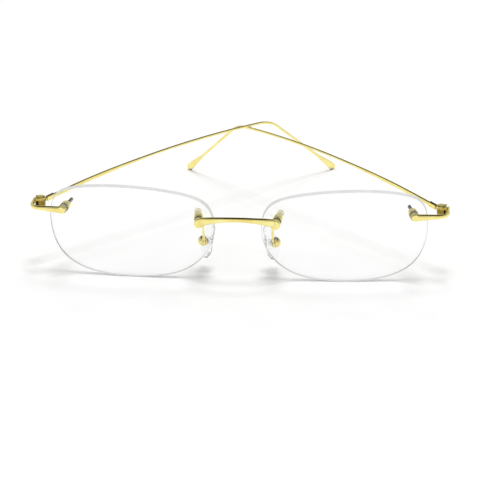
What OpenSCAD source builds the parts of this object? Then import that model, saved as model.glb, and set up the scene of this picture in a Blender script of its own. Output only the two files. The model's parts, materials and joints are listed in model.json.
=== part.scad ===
// Rimless eyeglasses, standing on the lenses' lower edges and the two temple tips,
// with the temples half folded and crossed behind the lenses.
//
// Axes: +X towards the wearer's left, +Y towards the back of the head, +Z up.
// Origin: on the ground, midway between the outermost points in X and in Y.
// Each sub-part is drawn with the glasses upright (vertical hinge axes, the middle of
// the lenses at z = 0) on the wearer's left, and is mirrored for the right.

/* [Lenses] */
// Width of one lens
lens_w = 54; // [50:1:58]
// Height of one lens
lens_h = 32.6; // [28:0.2:36]
// Gap between the two lenses, across the nose
nose_gap = 15.6; // [14:0.2:20]
// Thickness of a lens
lens_t = 2; // [1.6:0.1:2.6]
// Radius of the lens's front surface
lens_r = 128; // [100:1:180]
// How far each lens turns back towards the temple, in degrees
lens_wrap = 3; // [0:0.5:6]

/* [Bridge and endpieces] */
// Thickness of the endpieces, front to back
bar_t = 1.1; // [0.9:0.1:1.4]
// Thickness of the bridge, front to back
bridge_t = 1.4; // [1.1:0.1:1.6]
// Height of the bridge bar at its middle
bridge_h = 1.6; // [1.2:0.1:2.4]
// Width of the bridge's round end over the lens
bridge_end_w = 3.2; // [2.8:0.1:3.6]
// Height of the endpiece over the lens
endpiece_h = 2.4; // [2:0.1:3]
// Height of the endpiece at the hinge
endpiece_tail_h = 1.4; // [1.2:0.1:1.8]
// How far the endpieces slope down towards the hinge, in degrees
endpiece_slope = 10; // [6:1:12]

/* [Posts and nuts] */
// Diameter of the posts that pass through the lenses
post_d = 1.2; // [1.2:0.1:1.5]
// Outer diameter of the plastic sleeve in each lens hole
sleeve_d = 2.2; // [2:0.1:2.6]
// Outer diameter of the nuts and washers
nut_d = 3; // [2.8:0.1:3.4]
// Length of a temple-side post behind the front face of the lens
post_len = 9.2; // [8.6:0.1:9.4]
// Length of a nose-side post, which ends inside its cap
nose_post_len = 7.4; // [7:0.1:8]

/* [Hinges] */
// Distance from the middle of the glasses to a hinge axis
hinge_x = 65.7; // [64.5:0.1:66]
// Distance from the front of the lenses back to the hinge axis
hinge_y = 12.7; // [12:0.1:14]
// Outer diameter of the hinge knuckles
knuckle_d = 2.9; // [2.6:0.1:3]
// Height of the temple's knuckle
knuckle_h = 1.2; // [1:0.1:1.4]
// Diameter of the hinge screw
hinge_pin_d = 1.2; // [1:0.1:1.4]
// Radial clearance between the hinge screw and the temple's knuckle
hinge_clearance = 0.04; // [0.02:0.01:0.08]

/* [Temples] */
// Straight distance from the hinge to the bend over the ear
shaft_len = 101; // [100:0.5:102]
// How sharply the wire bends down behind the ear, in degrees
ear_bend = 35; // [34:0.5:36]
// Radius of the bend behind the ear
ear_bend_r = 15; // [10:1:20]
// Diameter of the temple wire
wire_d = 0.9; // [0.8:0.1:1]
// Height of the flattened blade at the front of the temple
blade_h = 1.3; // [1.1:0.1:1.5]
// Length of the flattened blade
blade_len = 42; // [20:1:60]
// Length of the flat paddle at the end of the temple
paddle_len = 13; // [10:1:16]
// Width of the paddle
paddle_w = 2.4; // [2:0.1:2.4]

/* [Nose pads] */
// Length of a nose pad
pad_len = 13; // [12:0.5:14]
// Width of a nose pad
pad_w = 6.6; // [6.2:0.2:7.4]
// Thickness of a nose pad
pad_t = 2; // [1.8:0.1:2.4]
// Turn of the pads about the vertical, in degrees
pad_splay = 30; // [20:1:35]
// Lean of the pads' tops towards the nose, in degrees
pad_lean = 14; // [8:1:20]

/* [Resting pose] */
// How far the front leans forward as it stands, in degrees
lean = 5.6; // [4:0.1:7]
// Angle of the upper (right) temple from the line through both hinges
fold_right = 45.4; // [45.4:0.1:45.8]
// Angle of the lower (left) temple from the line through both hinges
fold_left = 44.4; // [44:0.1:44.4]

/* [Hidden] */
$fn = 64;

// Wires are jointed by a ball this much wider, past a gap this long
ball_extra = 0.06;
seam = 0.02;

// Colours
gold = [0.87, 0.72, 0.33];
steel = [0.35, 0.35, 0.36];
glass = [0.8, 0.88, 0.9, 0.35];
clear = [0.85, 0.9, 0.86, 0.6];
white_nylon = [0.93, 0.92, 0.88];

// Centre of a lens, and the posts' holes in it, measured from that centre
lens_x = (nose_gap + lens_w) / 2;
temple_hole = [22.6, 6.7];
nose_hole = [-22.2, 4.4];

// Lens outline: control points of a closed cubic spline that is 53.8 wide and
// 32.6 high, temple side at +x
lens_cage = [
    [27, -2], [27, 8.6], [23.5, 13.9], [9, 16.4], [-7, 16], [-21.5, 13], [-26.5, 8.3],
    [-27.6, -1], [-23, -10.5], [-14, -15.8], [0, -16.8], [13, -16], [23, -11.5]
];
cage_w = 53.8;
cage_h = 32.6;
cage_steps = 8;

// A point on a uniform cubic spline with control points a, b, c, d
function spline(a, b, c, d, t) =
    (pow(1 - t, 3) * a + (3 * pow(t, 3) - 6 * t * t + 4) * b
    + (-3 * pow(t, 3) + 3 * t * t + 3 * t + 1) * c + pow(t, 3) * d) / 6;

lens_outline = [
    for (i = [0:len(lens_cage) - 1])
        for (k = [0:cage_steps - 1])
            let (n = len(lens_cage))
            let (p = spline(lens_cage[i], lens_cage[(i + 1) % n], lens_cage[(i + 2) % n],
                            lens_cage[(i + 3) % n], k / cage_steps))
            [p.x * lens_w / cage_w, p.y * lens_h / cage_h]
];

// How far the lens's front surface lies behind its foremost point
function lens_sag(p) = lens_r - sqrt(lens_r * lens_r - p.x * p.x - p.y * p.y);

// A vector turned about Z
function turned(v, a) = [v.x * cos(a) - v.y * sin(a), v.x * sin(a) + v.y * cos(a), v.z];

// The point on the lens's front surface in front of a hole, in the upright frame
function on_lens(p) =
    [lens_x, 0, 0] + turned([p.x, lens_sag(p), p.y], lens_wrap);

// Height of an upright point above the upright frame's origin, once the front leans
function leaned_z(p) = p.z * cos(lean) + p.y * sin(lean);

// Heights and depth that stand the glasses on the ground
stand_h = -min([for (p = lens_outline) leaned_z(on_lens(p))]);
half_depth = 52.5;

// Hinge stack, from the middle of the temple's knuckle
hinge_z = 4.6;
washer_h = 0.1;
hinge_gap = 0.02;
outer_knuckle_h = 0.8;
knuckle_face = knuckle_h / 2 + washer_h + hinge_gap;
leaf_t = 0.25;
leaf_x = knuckle_d / 2 + 0.08;
leaf_y = 1.5;
screw_head_h = 0.3;
screw_slot_w = 0.35;
screw_slot_d = 0.15;

// Layers on each post, measured back from the lens's front face. The lens's rear face is
// hollow, so the rear washer bears on it at its rim and stands off it in the middle.
washer_t = 0.3;
washer_seat = 0.02;
eyelet_t = 0.7;
nut_h = 2.2;
lock_ring_h = 0.8;
lock_ring_d = 2.2;
cap_d = 2.4;
cap_end = 9.2;
cap_dome = 0.4;
nose_nut_y = lens_t + washer_t + eyelet_t;
temple_nut_y = lens_t + washer_t;

// Temples: angle above the horizontal at the hinge and radius of the shaft's arch.
// The right temple rises more and arches less, and so passes over the left one.
rise_right = 4.6;
rise_left = 4.2;
arch_r_right = 420;
arch_r_left = 400;
blade_t = 0.8;
paddle_t = 0.8;
leaf_root_h = 0.9;
leaf_start = 2.4;
leaf_len = 5.4;

// Nose pad boxes, in the upright frame
pad_box_at = [12, 8.2, -5.9];
pad_box_r = 1.7;
pad_box_half = 1.4;
pad_slot_half = 0.75;
pad_tongue_r = 0.95;
pad_tongue_half = 0.7;
pad_screw_r = 0.45;
pad_clearance = 0.05;
pad_face_x = 1;
pad_up = 0.2;
pocket_r = pad_box_r + 0.3;
pocket_half = 2.2;
insert_x = 2.3;
insert_r = 1.3;
insert_t = 0.4;

// Pad arms
arm_d = 0.8;
arm_start = [11.4, 3.5, 3.5];
arm_drop = 4.2;
arm_bend_r = 4;
arm_bend = 75;
arm_tail = 1.2;

// Puts upright parts in the pose that the glasses stand in
module stand() {
    translate([0, -half_depth, stand_h]) rotate([lean, 0, 0]) children();
}

// Draws a left-hand part on the wearer's left (+1) or right (-1)
module on_side(side) {
    if (side > 0) stand() children();
    else stand() mirror([1, 0, 0]) children();
}

// The lens's own frame: origin on its foremost point, +Y to the back
module lens_frame() {
    translate([lens_x, 0, 0]) rotate([0, 0, lens_wrap]) children();
}

// A hole's frame: origin on the lens's front face, +Y back along the post
module hole_frame(p) {
    tilt = asin(p.y / lens_r);
    turn = asin(p.x / lens_r / cos(tilt));
    lens_frame() translate([0, lens_r, 0]) rotate([-tilt, 0, turn]) translate([0, -lens_r, 0])
        children();
}

// A round bar along +Y
module rod(d, y0, y1) {
    translate([0, y0, 0]) rotate([-90, 0, 0]) cylinder(d = d, h = y1 - y0);
}

// A tube along +Y
module tube(outer_d, inner_d, y0, y1) {
    difference() {
        rod(outer_d, y0, y1);
        rod(inner_d, y0 - 1, y1 + 1);
    }
}

// A bent bar that starts at the origin along +X and bends down; the section's x is its
// height and its y its thickness
module bend_down(r, angle) {
    facets = r > 100 ? 720 : 64;
    rotate([0, -90, -90]) translate([-r, 0, 0]) rotate_extrude(angle = angle, $fn = facets)
        translate([r, 0]) children();
}

// Moves on to the end of such a bend
module after_bend(r, angle) {
    translate([r * sin(angle), 0, -r * (1 - cos(angle))]) rotate([0, angle, 0]) children();
}

// ---- Lenses ----

module lens_body() {
    color(glass) difference() {
        lens_frame() intersection() {
            translate([0, lens_t * 3, 0]) rotate([90, 0, 0])
                linear_extrude(height = lens_t * 6, center = true) polygon(lens_outline);
            translate([0, lens_r, 0]) difference() {
                sphere(r = lens_r, $fn = 360);
                sphere(r = lens_r - lens_t, $fn = 360);
            }
        }
        for (p = [temple_hole, nose_hole]) hole_frame(p) rod(sleeve_d, -2, lens_t + 2);
    }
}

// Clear plastic sleeves that line both holes
module lens_sleeve_pair() {
    color(clear) for (p = [temple_hole, nose_hole])
        hole_frame(p) tube(sleeve_d, post_d, 0, lens_t);
}

// Clear plastic washers in front of and behind the lens
module lens_washer_set() {
    color(clear) for (p = [temple_hole, nose_hole]) hole_frame(p) {
        tube(nut_d, post_d, -washer_t, 0);
        tube(nut_d, post_d, lens_t + washer_seat, lens_t + washer_t);
    }
}

// ---- Posts, nuts and caps ----

module post(p, length) {
    hole_frame(p) rod(post_d, -washer_t, length);
}

module bridge_post() {
    color(gold) post(nose_hole, nose_post_len);
}

module endpiece_post() {
    color(steel) post(temple_hole, post_len);
}

// Round nuts with two flats, one on each post
module nut_pair() {
    color(gold) {
        hole_frame(nose_hole) nut(nose_nut_y);
        hole_frame(temple_hole) nut(temple_nut_y);
    }
}

module nut(y) {
    flat = nut_d * 0.86;
    intersection() {
        tube(nut_d, post_d, y, y + nut_h);
        translate([-nut_d, y - 1, -flat / 2]) cube([nut_d * 2, nut_h + 2, flat]);
    }
}

// Thin ring that locks the temple-side nut
module lock_ring() {
    color(steel) hole_frame(temple_hole)
        tube(lock_ring_d, post_d, temple_nut_y + nut_h, temple_nut_y + nut_h + lock_ring_h);
}

// Clear cap over the end of the nose-side post
module nut_cap() {
    y = nose_nut_y + nut_h;
    color(clear) hole_frame(nose_hole) difference() {
        union() {
            rod(cap_d, y, cap_end);
            translate([0, cap_end, 0]) intersection() {
                sphere(d = cap_d);
                translate([-cap_d, 0, -cap_d]) cube([2 * cap_d, cap_dome, 2 * cap_d]);
            }
        }
        rod(post_d, y - 1, nose_post_len);
    }
}

// Room for the washer behind a bar, cut square to the post
module washer_room() {
    rod(nut_d + 1, -washer_t, lens_t);
}

// ---- Bridge ----

// Seen from the front: an arch that widens into the two ends
module bridge_front() {
    end = on_lens(nose_hole);
    top_r = 60;
    bottom_r = 26;
    top = 7.7;
    intersection() {
        difference() {
            translate([0, top - top_r]) circle(r = top_r, $fn = 360);
            translate([0, top - bridge_h - bottom_r]) circle(r = bottom_r, $fn = 180);
        }
        translate([-end.x, 0]) square([2 * end.x, 2 * top]);
    }
}

// Seen from above: the bar bows forward over the nose
module bridge_plan() {
    end = on_lens(nose_hole);
    bow_r = 40;
    back = end.y - washer_t;
    centre_y = back + sqrt(bow_r * bow_r - end.x * end.x);
    intersection() {
        translate([0, centre_y]) difference() {
            circle(r = bow_r + bridge_t, $fn = 360);
            circle(r = bow_r, $fn = 360);
        }
        translate([-end.x, centre_y - bow_r - 5]) square([2 * end.x, bow_r]);
    }
}

module bridge() {
    color(gold) stand() difference() {
        union() {
            intersection() {
                linear_extrude(height = 12) bridge_plan();
                rotate([90, 0, 0]) linear_extrude(height = 30, center = true) bridge_front();
            }
            for (side = [0, 1]) mirror([side, 0, 0])
                hole_frame(nose_hole) rod(bridge_end_w, -washer_t - bridge_t, -washer_t);
        }
        for (side = [0, 1]) mirror([side, 0, 0]) hole_frame(nose_hole) washer_room();
    }
}

// ---- Endpieces ----

// Seen from above, from the post's centre: along the lens, round a corner and back
module endpiece_plan() {
    angle = 13;
    corner_r = 4;
    corner_steps = 12;
    end = on_lens(temple_hole);
    line_x = hinge_x + leaf_x + leaf_t + bar_t / 2 - end.x;
    tangent = corner_r * tan((90 - angle) / 2);
    reach = line_x / cos(angle) - tangent;
    centre = reach * [cos(angle), sin(angle)] + corner_r * [-sin(angle), cos(angle)];
    tail_y = hinge_y + leaf_y - end.y + washer_t + bar_t / 2;
    side_at = function(across) concat(
        [across * [sin(angle), -cos(angle)]],
        [for (i = [0:corner_steps])
            let (a = angle - 90 + i * (90 - angle) / corner_steps)
            centre + (corner_r + across) * [cos(a), sin(a)]],
        [[line_x + across, tail_y]]
    );
    inner = side_at(-bar_t / 2);
    polygon(concat(side_at(bar_t / 2), [for (i = [len(inner) - 1:-1:0]) inner[i]]));
}

// Seen from the front, from the post's centre: a round end that narrows outwards
module endpiece_front() {
    narrow_x = 8.5;
    circle(d = endpiece_h);
    polygon([
        [0, -endpiece_h / 2], [narrow_x, -endpiece_tail_h / 2], [16, -endpiece_tail_h / 2],
        [16, endpiece_tail_h / 2], [narrow_x, endpiece_tail_h / 2], [0, endpiece_h / 2]
    ]);
}

module endpiece() {
    end = on_lens(temple_hole);
    color(gold) difference() {
        union() {
            translate([end.x, end.y - washer_t - bar_t / 2, end.z])
                rotate([-endpiece_slope, 0, 0]) intersection() {
                    linear_extrude(height = 2 * endpiece_h, center = true) endpiece_plan();
                    rotate([90, 0, 0]) linear_extrude(height = 60, center = true) endpiece_front();
                }
            hole_frame(temple_hole) rod(endpiece_h, -washer_t - bar_t, -washer_t);
        }
        hole_frame(temple_hole) washer_room();
    }
}

// ---- Hinges ----

module hinge_frame() {
    translate([hinge_x, hinge_y, hinge_z]) children();
}

// Upper and lower knuckles on the plate that is brazed to the endpiece
module hinge_leaf() {
    stack = knuckle_face + outer_knuckle_h;
    color(gold) hinge_frame() difference() {
        union() {
            for (z = [knuckle_face, -stack]) translate([0, 0, z]) {
                cylinder(d = knuckle_d, h = outer_knuckle_h);
                translate([0, -knuckle_d / 2, 0])
                    cube([leaf_x + leaf_t / 2, knuckle_d, outer_knuckle_h]);
            }
            translate([leaf_x, -leaf_y, -stack]) cube([leaf_t, 2 * leaf_y, 2 * stack]);
        }
        translate([0, 0, -stack - 1]) cylinder(d = hinge_pin_d, h = 2 * stack + 2);
    }
}

// Screw with a flat slotted head that covers the upper knuckle
module hinge_screw() {
    top = knuckle_face + outer_knuckle_h;
    color(gold) hinge_frame() difference() {
        union() {
            translate([0, 0, -top]) cylinder(d = hinge_pin_d, h = 2 * top);
            translate([0, 0, top]) cylinder(d = knuckle_d, h = screw_head_h);
        }
        translate([-knuckle_d, -screw_slot_w / 2, top + screw_head_h - screw_slot_d])
            cube([2 * knuckle_d, screw_slot_w, 1]);
    }
}

// ---- Temples, drawn along +X from the hinge axis ----

module folded(angle) {
    hinge_frame() rotate([0, 0, 180 - angle]) children();
}

// Knuckle and the short leaf that carries the blade
module temple_knuckle(angle, rise) {
    bore_d = hinge_pin_d + 2 * hinge_clearance;
    color(gold) folded(angle) difference() {
        union() {
            translate([0, 0, -knuckle_h / 2]) cylinder(d = knuckle_d, h = knuckle_h);
            rotate([0, -rise, 0]) translate([0, -blade_t / 2, -leaf_root_h / 2])
                cube([leaf_start, blade_t, leaf_root_h]);
            rotate([0, -rise, 0]) translate([leaf_start, -blade_t / 2 - 0.15, -blade_h / 2 - 0.1])
                cube([leaf_len - leaf_start, blade_t + 0.3, blade_h + 0.2]);
        }
        translate([0, 0, -knuckle_h]) cylinder(d = bore_d, h = 2 * knuckle_h);
    }
}

// Nylon washers above and below the temple's knuckle
module hinge_washer_pair(angle) {
    color(white_nylon) folded(angle) for (z = [knuckle_h / 2, -knuckle_h / 2 - washer_h])
        translate([0, 0, z]) difference() {
            cylinder(d = knuckle_d - 0.2, h = washer_h);
            translate([0, 0, -1]) cylinder(d = hinge_pin_d + 2 * hinge_clearance, h = 3);
        }
}

// Flattened blade, arched round wire, bend behind the ear, and the paddle at the end.
// A ball slightly wider than the wire closes each joint between two stretches.
module temple(angle, rise, arch_r) {
    to_angle = function(length) length / arch_r * 180 / PI;
    bend_start = shaft_len - ear_bend_r * tan(ear_bend / 2);
    lap = to_angle(0.5);
    blade_angle = to_angle(blade_len - leaf_len);
    wire_angle = to_angle(bend_start - blade_len);
    tip_slope = to_angle(bend_start - leaf_len) - rise + ear_bend;
    color(gold) folded(angle) rotate([0, -rise, 0]) translate([leaf_len, 0, 0]) {
        bend_down(arch_r, blade_angle + lap) square([blade_h, blade_t], center = true);
        after_bend(arch_r, blade_angle) {
            bend_down(arch_r, wire_angle) circle(d = wire_d);
            after_bend(arch_r, wire_angle) {
                joint_ball();
                translate([seam, 0, 0]) {
                    bend_down(ear_bend_r, ear_bend) circle(d = wire_d);
                    after_bend(ear_bend_r, ear_bend) {
                        joint_ball();
                        translate([seam, 0, 0])
                            tip_and_paddle(tip_length(angle, rise, arch_r, tip_slope));
                    }
                }
            }
        }
    }
}

module joint_ball() {
    sphere(d = wire_d + ball_extra);
}

// Straight wire and paddle; length runs to the end of the paddle
module tip_and_paddle(length) {
    wire = length - paddle_len;
    rotate([0, 90, 0]) cylinder(d = wire_d, h = wire);
    translate([wire, 0, 0]) rotate([90, 0, 0])
        linear_extrude(height = paddle_t, center = true) {
            straight = paddle_len - paddle_w / 2;
            polygon([
                [0, -wire_d / 2], [straight, -paddle_w / 2],
                [straight, paddle_w / 2], [0, wire_d / 2]
            ]);
            translate([straight, 0]) circle(d = paddle_w);
        }
}

// Length of the tip for which the paddle's round end just reaches the ground. The
// shaft is worked out in its own plane, and the paddle tilts with the front's lean.
function tip_length(angle, rise, arch_r, slope) =
    let (bend = ear_bend_r * tan(ear_bend / 2))
    let (arc = (shaft_len - bend - leaf_len) / arch_r * 180 / PI)
    let (p0 = [leaf_len * cos(rise), leaf_len * sin(rise)])
    let (p1 = p0 + arch_r * [sin(arc - rise) + sin(rise), cos(arc - rise) - cos(rise)])
    let (p2 = p1 + ear_bend_r * [sin(slope) - sin(arc - rise), cos(slope) - cos(arc - rise)])
    let (tilt = asin(cos(angle) * sin(lean)))
    let (lowest = (paddle_w * cos(tilt) + paddle_t * sin(tilt)) / 2)
    let (height = stand_h + leaned_z([0, hinge_y + p2.x * sin(angle), hinge_z + p2.y]) - lowest)
    height / (sin(slope) * cos(lean) - cos(slope) * sin(angle) * sin(lean)) + paddle_w / 2 - seam;

// ---- Nose pads ----

// A pad box's frame: +X from the box to the pad, Y along the pad's screw
module pad_frame() {
    translate(pad_box_at) rotate([0, 0, 180 - pad_splay]) rotate([0, pad_lean, 0]) children();
}

// Ring on the nose-side post, and the wire that carries the pad box
module pad_arm() {
    eyelet_y = lens_t + washer_t;
    color(gold) difference() {
        union() {
            hole_frame(nose_hole) rod(nut_d, eyelet_y, eyelet_y + eyelet_t);
            translate(arm_start) rotate([0, 90, -90]) {
                rotate([0, 90, 0]) cylinder(d = arm_d, h = arm_drop);
                translate([arm_drop, 0, 0]) {
                    sphere(d = arm_d + ball_extra);
                    translate([seam, 0, 0]) bend_down(arm_bend_r, arm_bend) circle(d = arm_d);
                    after_bend(arm_bend_r, arm_bend)
                        rotate([0, 90, 0]) cylinder(d = arm_d, h = arm_tail);
                }
            }
        }
        hole_frame(nose_hole) rod(post_d, -2, nose_post_len);
        pad_frame() rod(2 * pad_box_r, -pad_box_half, pad_box_half);
    }
}

// Round box with a slot for the pad's tongue
module pad_box() {
    color(gold) pad_frame() difference() {
        rod(2 * pad_box_r, -pad_box_half, pad_box_half);
        translate([-1.1, -pad_slot_half, -5]) cube([10, 2 * pad_slot_half, 10]);
        rod(2 * pad_screw_r, -5, 5);
    }
}

module pad_screw() {
    head_r = 0.8;
    head_h = 0.4;
    slot_w = 0.25;
    color(gold) pad_frame() difference() {
        union() {
            rod(2 * pad_screw_r, -pad_box_half, pad_box_half);
            rod(2 * head_r, pad_box_half, pad_box_half + head_h);
        }
        translate([-slot_w / 2, pad_box_half + head_h / 2, -5]) cube([slot_w, 1, 10]);
    }
}

// Plastic tongue that the screw passes through, with the plate moulded into the pad
module insert_solid() {
    rod(2 * pad_tongue_r, -pad_tongue_half, pad_tongue_half);
    translate([0, -pad_tongue_half, -0.5]) cube([insert_x, 2 * pad_tongue_half, 1]);
    translate([insert_x, 0, 0]) rotate([0, 90, 0])
        cylinder(r = insert_r, h = insert_t);
}

module pad_insert() {
    color(clear) pad_frame() difference() {
        insert_solid();
        rod(2 * (pad_screw_r + pad_clearance), -5, 5);
    }
}

// Outline of the pad, long way along x, with its narrower end at the top
module pad_outline() {
    top_r = pad_w * 0.36;
    bottom_r = pad_w / 2;
    span = pad_len - top_r - bottom_r;
    side = asin((bottom_r - top_r) / span);
    steps = 16;
    bottom_arc = [
        for (i = [0:2 * steps])
            let (a = 90 - side + i * (90 + side) / steps)
            [bottom_r - pad_len / 2, 0] + bottom_r * [cos(a), sin(a)]
    ];
    top_arc = [
        for (i = [-steps:steps])
            let (a = i * (90 - side) / steps)
            [pad_len / 2 - top_r, 0] + top_r * [cos(a), sin(a)]
    ];
    polygon(concat(bottom_arc, top_arc));
}

// Clear silicone pad, moulded round the insert's plate, with a pocket that clears the box
module nose_pad() {
    color(clear) pad_frame() difference() {
        translate([pad_face_x, 0, pad_up]) rotate([0, -90, 180])
            linear_extrude(height = pad_t) pad_outline();
        rod(2 * pocket_r, -pocket_half, pocket_half);
        insert_solid();
    }
}

bridge();
on_side(1) bridge_post();  // bridge_post_left
on_side(-1) bridge_post();  // bridge_post_right
on_side(1) endpiece();  // endpiece_left
on_side(-1) endpiece();  // endpiece_right
on_side(1) endpiece_post();  // endpiece_post_left
on_side(-1) endpiece_post();  // endpiece_post_right
on_side(1) lens_body();  // lens_left
on_side(-1) lens_body();  // lens_right
on_side(1) lens_sleeve_pair();  // lens_sleeves_left
on_side(-1) lens_sleeve_pair();  // lens_sleeves_right
on_side(1) lens_washer_set();  // lens_washers_left
on_side(-1) lens_washer_set();  // lens_washers_right
on_side(1) nut_pair();  // nuts_left
on_side(-1) nut_pair();  // nuts_right
on_side(1) lock_ring();  // lock_ring_left
on_side(-1) lock_ring();  // lock_ring_right
on_side(1) nut_cap();  // nut_cap_left
on_side(-1) nut_cap();  // nut_cap_right
on_side(1) hinge_leaf();  // hinge_leaf_left
on_side(-1) hinge_leaf();  // hinge_leaf_right
on_side(1) hinge_screw();  // hinge_screw_left
on_side(-1) hinge_screw();  // hinge_screw_right
on_side(1) pad_arm();  // pad_arm_left
on_side(-1) pad_arm();  // pad_arm_right
on_side(1) pad_box();  // pad_box_left
on_side(-1) pad_box();  // pad_box_right
on_side(1) pad_screw();  // pad_screw_left
on_side(-1) pad_screw();  // pad_screw_right
on_side(1) nose_pad();  // nose_pad_left
on_side(-1) nose_pad();  // nose_pad_right
on_side(1) pad_insert();  // pad_insert_left
on_side(-1) pad_insert();  // pad_insert_right
on_side(1) temple(fold_left, rise_left, arch_r_left);  // temple_left
on_side(-1) temple(fold_right, rise_right, arch_r_right);  // temple_right
on_side(1) temple_knuckle(fold_left, rise_left);  // temple_knuckle_left
on_side(-1) temple_knuckle(fold_right, rise_right);  // temple_knuckle_right
on_side(1) hinge_washer_pair(fold_left);  // hinge_washers_left
on_side(-1) hinge_washer_pair(fold_right);  // hinge_washers_right
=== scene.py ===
"""Rimless eyeglasses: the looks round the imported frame.

Pieces are drawn in millimetres on the wearer's left, with the front upright: x to the
wearer's left, y to the back, z up, and the middle of the lenses at z = 0. stand() then
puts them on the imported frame, in metres, and mirrors them for the right.
"""

import json
from math import asin, cos, degrees, pi, radians, sin, sqrt, tan

import bmesh
import bpy
from mathutils import Matrix, Vector


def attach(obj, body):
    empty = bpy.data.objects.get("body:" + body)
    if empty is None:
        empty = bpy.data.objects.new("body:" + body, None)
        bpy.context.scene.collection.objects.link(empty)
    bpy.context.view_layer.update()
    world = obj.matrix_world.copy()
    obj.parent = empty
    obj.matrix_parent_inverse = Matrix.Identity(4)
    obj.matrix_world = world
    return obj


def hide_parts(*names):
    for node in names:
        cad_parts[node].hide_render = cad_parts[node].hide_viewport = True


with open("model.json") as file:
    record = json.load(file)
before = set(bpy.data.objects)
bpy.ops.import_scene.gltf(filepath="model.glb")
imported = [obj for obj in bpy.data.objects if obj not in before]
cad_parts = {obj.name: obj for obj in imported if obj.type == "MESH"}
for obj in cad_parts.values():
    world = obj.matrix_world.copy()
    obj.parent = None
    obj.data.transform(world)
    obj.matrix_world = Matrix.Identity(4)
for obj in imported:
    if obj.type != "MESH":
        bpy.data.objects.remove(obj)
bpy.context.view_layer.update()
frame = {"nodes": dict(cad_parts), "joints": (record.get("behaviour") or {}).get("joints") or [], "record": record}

MM = 0.001
LEFT, RIGHT = 1, -1
SIDES = {LEFT: "left", RIGHT: "right"}

# ---- Sizes, in millimetres and degrees ----

# Lenses
LENS_R = 128
LENS_T = 2
LENS_W = 54
LENS_H = 32.6
LENS_WRAP = 3
LENS_BEVEL = 0.18
NOSE_GAP = 15.6
LENS_X = (NOSE_GAP + LENS_W) / 2
TEMPLE_HOLE = Vector((22.6, 6.7))
NOSE_HOLE = Vector((-22.2, 4.4))
HOLES = (TEMPLE_HOLE, NOSE_HOLE)
# Control points of the lens's outline, and the size of the spline that they give
CAGE_W = 53.8
CAGE_H = 32.6
LENS_CAGE = [
    (27, -2), (27, 8.6), (23.5, 13.9), (9, 16.4), (-7, 16), (-21.5, 13), (-26.5, 8.3),
    (-27.6, -1), (-23, -10.5), (-14, -15.8), (0, -16.8), (13, -16), (23, -11.5),
]

# Bridge and endpieces
BAR_POWER = 2.3
BRIDGE_T = 1.4
BRIDGE_TOP = 7.7
BRIDGE_TOP_R = 60
BRIDGE_BOTTOM_R = 26
BRIDGE_MIDDLE_H = 1.6
BRIDGE_BOW_R = 40
BRIDGE_DISC_D = 3.2
END_T = 1.1
END_DISC_D = 2.4
END_ROOT_H = 2.4
END_TAIL_H = 1.4
END_TAPER = 8.5
END_SPLAY = 13
END_SLOPE = 10
END_CORNER_R = 4
END_EASE = 0.2

# Posts and what is on them
WASHER_T = 0.3
NUT_D = 3
NUT_H = 2.2
NUT_GROOVE = 0.28
NUT_FLATS = 0.86
POST_D = 1.2
POST_LEN = 9.2
NOSE_POST_LEN = 7.4
SLEEVE_D = 2.2
EYELET_T = 0.7
LOCK_RING_D = 2.2
LOCK_RING_H = 0.8
CAP_D = 2.4
CAP_SHOULDER = 8.7
CAP_DOME = 0.9
NOSE_NUT_Y = LENS_T + WASHER_T + EYELET_T
TEMPLE_NUT_Y = LENS_T + WASHER_T
AIR = 0.02

# Hinges
HINGE = Vector((65.7, 12.7, 4.6))
KNUCKLE_D = 2.9
LEAF_BACK_X = KNUCKLE_D / 2 + 0.33
LEAF_END_Y = 1.5
SCREW_TOP = 1.52
SCREW_HEAD_H = 0.3
SCREW_PIN_R = 0.6
SCREW_SLOT = 0.34
SCREW_SLOT_DEPTH = 0.15

# Temples
FOLD = {LEFT: 44.4, RIGHT: 45.4}
RISE = {LEFT: 4.2, RIGHT: 4.6}
ARCH_R = {LEFT: 400, RIGHT: 420}
SHAFT_LEN = 101
EAR_BEND = 35
EAR_BEND_R = 15
LEAF_LEN = 5.4
BLADE_LEN = 42
BLADE_FULL = 0.35
BLADE_H = 1.3
BLADE_T = 0.8
WIRE_D = 0.9
PADDLE_LEN = 13
PADDLE_W = 2.4
PADDLE_T = 0.8
# The section's power: a circle on the wire, and flatter on the blade and the paddle
ROUND_POWER = 2
FLAT_POWER = 3.8

# Nose pads
PAD_BOX_AT = Vector((12, 8.2, -5.9))
PAD_BOX_R = 1.7
PAD_BOX_HALF = 1.4
PAD_SLOT_HALF = 0.75
PAD_SLOT_DEPTH = 1.1
PAD_SCREW_R = 0.8
PAD_SCREW_H = 0.4
PAD_PIN_R = 0.45
PAD_SCREW_SLOT = 0.24
PAD_SPLAY = 30
PAD_LEAN = 14
PAD_LEN = 13
PAD_W = 6.6
PAD_T = 2
PAD_RIM = 0.4
PAD_NARROW = 0.72
PAD_FACE_X = 1
PAD_UP = 0.2
POCKET_R = 2
POCKET_HALF = 2.2
ARM_D = 0.75
ARM_START = Vector((11.4, 3.5, 3.5))
ARM_DROP = 4.2
ARM_BEND_R = 4
ARM_BEND = 75
# The wire ends inside the box's wall, short of the slot that the pad's tongue turns in
ARM_TAIL = 0.95

# ---- Frames ----

joint_of = {j["child"]: j for j in frame["joints"]}
UP = Vector(joint_of["temple_right"]["axis"]).normalized()
ACROSS = Vector((1, 0, 0))
BACK = UP.cross(ACROSS)
UPRIGHT = Vector((0, 0, 1))
ORIGIN = Vector(joint_of["temple_left"]["pos_m"]) - MM * (
    ACROSS * HINGE.x + BACK * HINGE.y + UP * HINGE.z
)


def shift(*to):
    return Matrix.Translation(to)


def turn(axis, angle):
    return Matrix.Rotation(radians(angle), 4, axis)


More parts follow.
